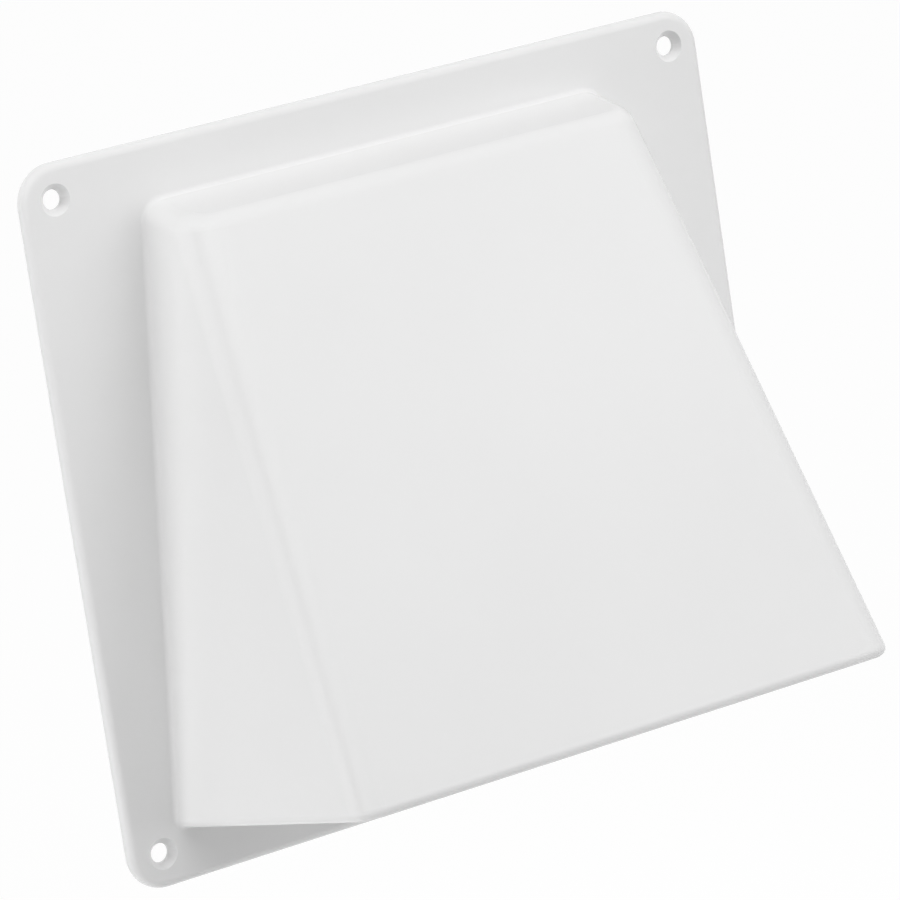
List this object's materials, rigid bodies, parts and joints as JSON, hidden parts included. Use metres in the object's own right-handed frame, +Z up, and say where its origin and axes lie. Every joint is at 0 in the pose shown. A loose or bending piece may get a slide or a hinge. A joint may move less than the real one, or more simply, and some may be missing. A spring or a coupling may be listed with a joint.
{
  "type": "wall vent cap",
  "caption": "One-piece moulded wall vent cap: a hollow wedge-shaped hood, open to the duct behind and downwards at its mouth, on a flat flange with countersunk screw holes.",
  "frame": {"origin": "middle of the screw-hole pattern, on the flange's back face", "axes": "+Z up on the wall, +Y into the wall, so the hood points along -Y; X across the flange"},
  "size_m": [0.1938, 0.0802, 0.1772],
  "materials": {
    "white_plastic": "satin moulded white"
  },
  "bodies": {
    "root": {"vent_cap": "white_plastic"}
  },
  "joints": []
}
